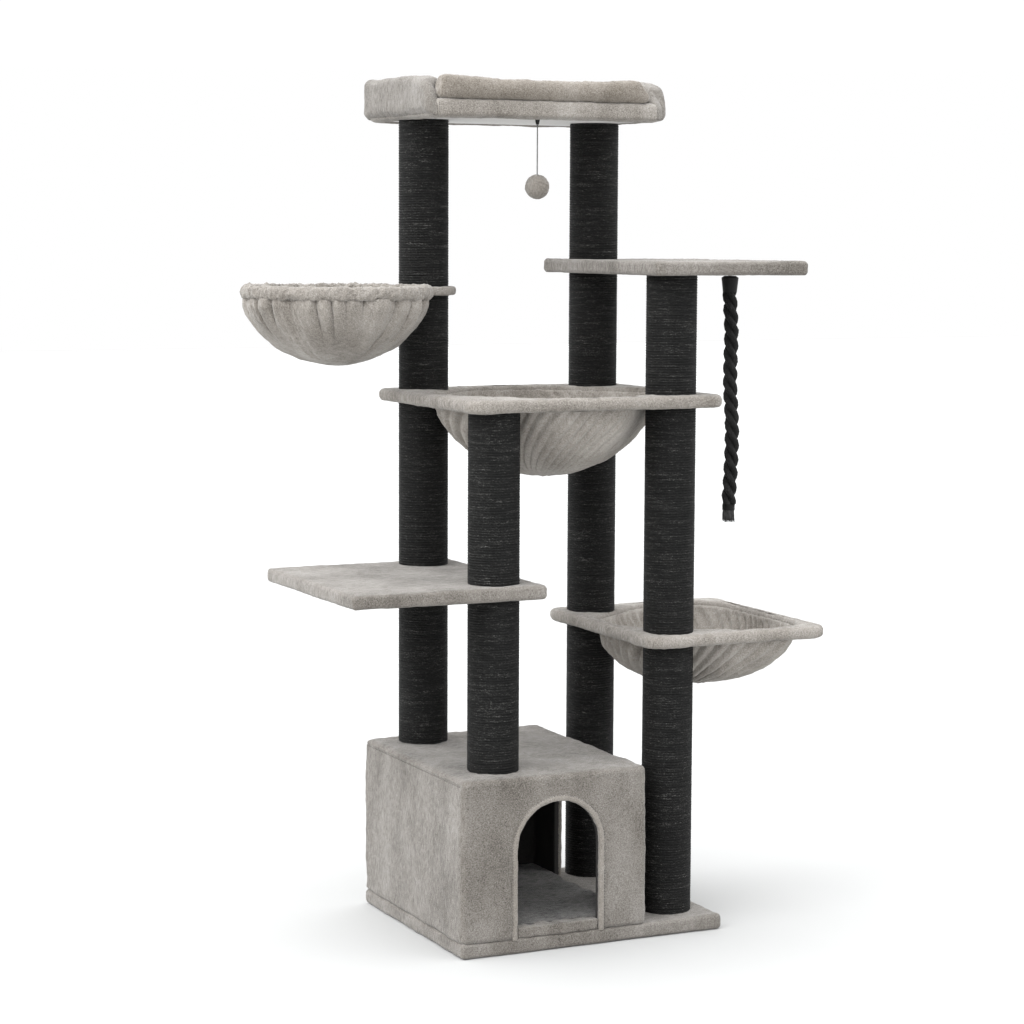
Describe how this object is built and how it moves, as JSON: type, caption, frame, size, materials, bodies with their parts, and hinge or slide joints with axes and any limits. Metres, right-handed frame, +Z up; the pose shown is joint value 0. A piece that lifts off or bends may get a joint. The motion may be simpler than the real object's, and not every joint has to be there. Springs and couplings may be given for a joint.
{
  "type": "cat tree",
  "caption": "Tall free-standing cat tree: cat house base, sisal posts, platforms, sling hammocks, round bowl, bolstered top bed, ball toy and hanging rope.",
  "frame": {"origin": "centre of the base plate's bottom face, on the floor", "axes": "+Z up, front with the cat house's main door towards -Y, lower hammock and rope towards +X"},
  "size_m": [1.34, 0.6985, 2.008],
  "materials": {
    "plush": "short-pile plush, soft matte nap",
    "sling_plush": "short-pile plush, gathered",
    "binding_plush": "plush binding tape",
    "ball_plush": "short-pile plush",
    "sisal": "tightly wound black sisal rope, matte",
    "rope_fibre": "twisted black sisal rope",
    "frayed_fibre": "frayed dark fibre",
    "string": "thin braided string",
    "lining": "thin pale nonwoven",
    "foam": "soft polyurethane foam",
    "cardboard": "wound cardboard tube",
    "wood": "bare particle board",
    "house_board": "dark stained particle board",
    "steel": "zinc plated",
    "black_plastic": "moulded, matte"
  },
  "bodies": {
    "tree": {"base_board": "wood", "base_cover": "plush", "house_front_panel": "house_board", "house_left_panel": "house_board", "house_back_panel": "house_board", "house_right_panel": "house_board", "house_top_panel": "house_board", "house_cover": "plush", "front_door_binding": "binding_plush", "side_door_binding": "binding_plush", "house_mat": "plush", "front_left_sisal_1": "sisal", "front_left_sisal_2": "sisal", "back_left_sisal_1": "sisal", "back_left_sisal_2": "sisal", "back_left_sisal_3": "sisal", "back_left_sisal_4": "sisal", "back_right_sisal_1": "sisal", "back_right_sisal_2": "sisal", "back_right_sisal_3": "sisal", "back_right_sisal_4": "sisal", "front_right_sisal_1": "sisal", "front_right_sisal_2": "sisal", "front_right_sisal_3": "sisal", "post_tubes": "cardboard", "post_plugs": "wood", "joining_studs": "steel", "post_bolts": "steel", "left_platform_board": "wood", "left_platform_cover": "plush", "right_platform_board": "wood", "right_platform_cover": "plush", "middle_hammock_frame": "wood", "middle_hammock_wrap": "plush", "middle_hammock_sling": "sling_plush", "lower_hammock_frame": "wood", "lower_hammock_wrap": "plush", "lower_hammock_sling": "sling_plush", "bowl_frame": "wood", "bowl_tongue_cover": "plush", "bowl_rim": "plush", "bowl_sling": "sling_plush", "bed_board": "wood", "bed_padding": "foam", "bed_cover": "plush", "bed_underside": "lining", "bed_left_bolster": "plush", "bed_right_bolster": "plush", "bed_front_bolster": "plush", "bed_back_bolster": "plush", "toy_anchor": "black_plastic"},
    "toy_link": {"toy_knot": "string"},
    "toy": {"toy_string": "string", "toy_ball": "ball_plush"},
    "rope_link": {"rope_swivel": "steel"},
    "rope": {"rope_sleeve": "black_plastic", "rope": "rope_fibre", "rope_binding": "rope_fibre", "rope_frayed_end": "frayed_fibre"}
  },
  "joints": [
    {"name": "toy_swing_side", "type": "hinge", "parent": "tree", "child": "toy_link", "pos_m": [0.011, 0.06, 1.89], "axis": [0, 1, 0], "range_deg": [-45, 45]},
    {"name": "toy_swing_front", "type": "hinge", "parent": "toy_link", "child": "toy", "pos_m": [0.011, 0.06, 1.89], "axis": [1, 0, 0], "range_deg": [-45, 45]},
    {"name": "rope_swing_side", "type": "hinge", "parent": "tree", "child": "rope_link", "pos_m": [0.514, 0.014, 1.5366], "axis": [0, 1, 0], "range_deg": [-12, 12]},
    {"name": "rope_swing_front", "type": "hinge", "parent": "rope_link", "child": "rope", "pos_m": [0.514, 0.014, 1.5366], "axis": [1, 0, 0], "range_deg": [-12, 12]}
  ]
}
